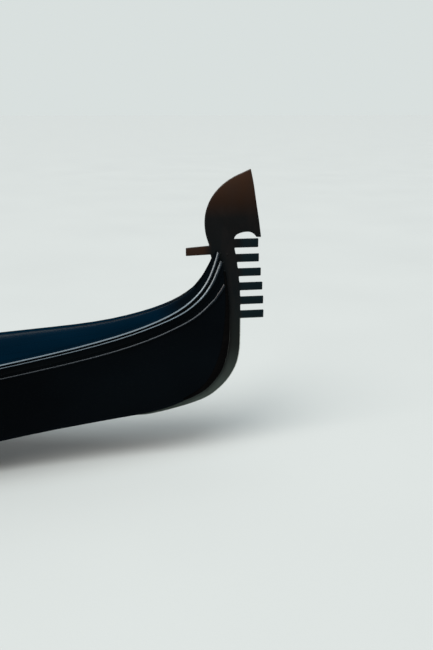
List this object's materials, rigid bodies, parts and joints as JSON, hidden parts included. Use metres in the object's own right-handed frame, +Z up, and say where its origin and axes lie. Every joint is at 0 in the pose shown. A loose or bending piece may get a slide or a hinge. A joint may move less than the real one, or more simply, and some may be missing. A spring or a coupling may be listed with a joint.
{
  "type": "gondola boat",
  "caption": "Long narrow flat-bottomed rowing boat with rising decked ends, a toothed bow iron, an open well with seats and a lift-out rowlock.",
  "frame": {"origin": "amidships, on the waterline, in the plane of the stem and stern posts", "axes": "+X towards the bow, +Y to port, +Z up"},
  "size_m": [10.934, 1.4348, 1.8214],
  "materials": {
    "black_lacquer": "glossy black lacquer on wood",
    "deck_lacquer": "glossy very dark navy lacquer on wood",
    "bottom_paint": "dull black-green bottom paint on wood",
    "dark_timber": "satin black-brown paint on wood",
    "floor_boards": "worn oiled boards",
    "dark_iron": "dark satin steel, brown at the top and grey-green at the strap",
    "brass": "polished brass, slightly tarnished",
    "red_velvet": "deep red velvet",
    "walnut": "oiled walnut"
  },
  "bodies": {
    "boat": {"hull_bottom_stern": "bottom_paint", "hull_bottom_aft": "bottom_paint", "hull_bottom_middle": "bottom_paint", "hull_bottom_fore": "bottom_paint", "hull_bottom_bow": "bottom_paint", "side_plank_port_stern": "black_lacquer", "side_plank_port_aft": "black_lacquer", "side_plank_port_middle": "black_lacquer", "side_plank_port_fore": "black_lacquer", "side_plank_port_bow": "black_lacquer", "side_plank_starboard_stern": "black_lacquer", "side_plank_starboard_aft": "black_lacquer", "side_plank_starboard_middle": "black_lacquer", "side_plank_starboard_fore": "black_lacquer", "side_plank_starboard_bow": "black_lacquer", "stem_timber": "dark_timber", "stern_timber": "dark_timber", "gunwale_port": "black_lacquer", "gunwale_starboard": "black_lacquer", "rub_bead_port": "black_lacquer", "rub_bead_starboard": "black_lacquer", "bow_iron": "dark_iron", "stern_iron": "dark_iron", "bow_deck": "deck_lacquer", "stern_deck": "deck_lacquer", "bow_coaming": "black_lacquer", "stern_coaming": "black_lacquer", "ribs_port": "dark_timber", "ribs_starboard": "dark_timber", "floorboards": "floor_boards", "fore_platform": "floor_boards", "low_aft_platform": "floor_boards", "high_aft_platform": "floor_boards", "fore_thwart": "dark_timber", "middle_thwart": "dark_timber", "aft_thwart": "dark_timber", "seat_base": "black_lacquer", "seat_back": "black_lacquer", "seat_cushion": "red_velvet", "back_cushion": "red_velvet", "armrest_port": "black_lacquer", "armrest_starboard": "black_lacquer", "sea_horse_port": "brass", "sea_horse_starboard": "brass", "chair_port": "black_lacquer", "chair_starboard": "black_lacquer", "chair_cushion_port": "red_velvet", "chair_cushion_starboard": "red_velvet", "footrest": "floor_boards", "rowlock_block": "dark_timber"},
    "rowlock": {"rowlock": "walnut"}
  },
  "joints": [
    {"name": "rowlock_lift", "type": "slide", "parent": "boat", "child": "rowlock", "axis": [0, 0, 1], "range_m": [0, 0.2]}
  ]
}
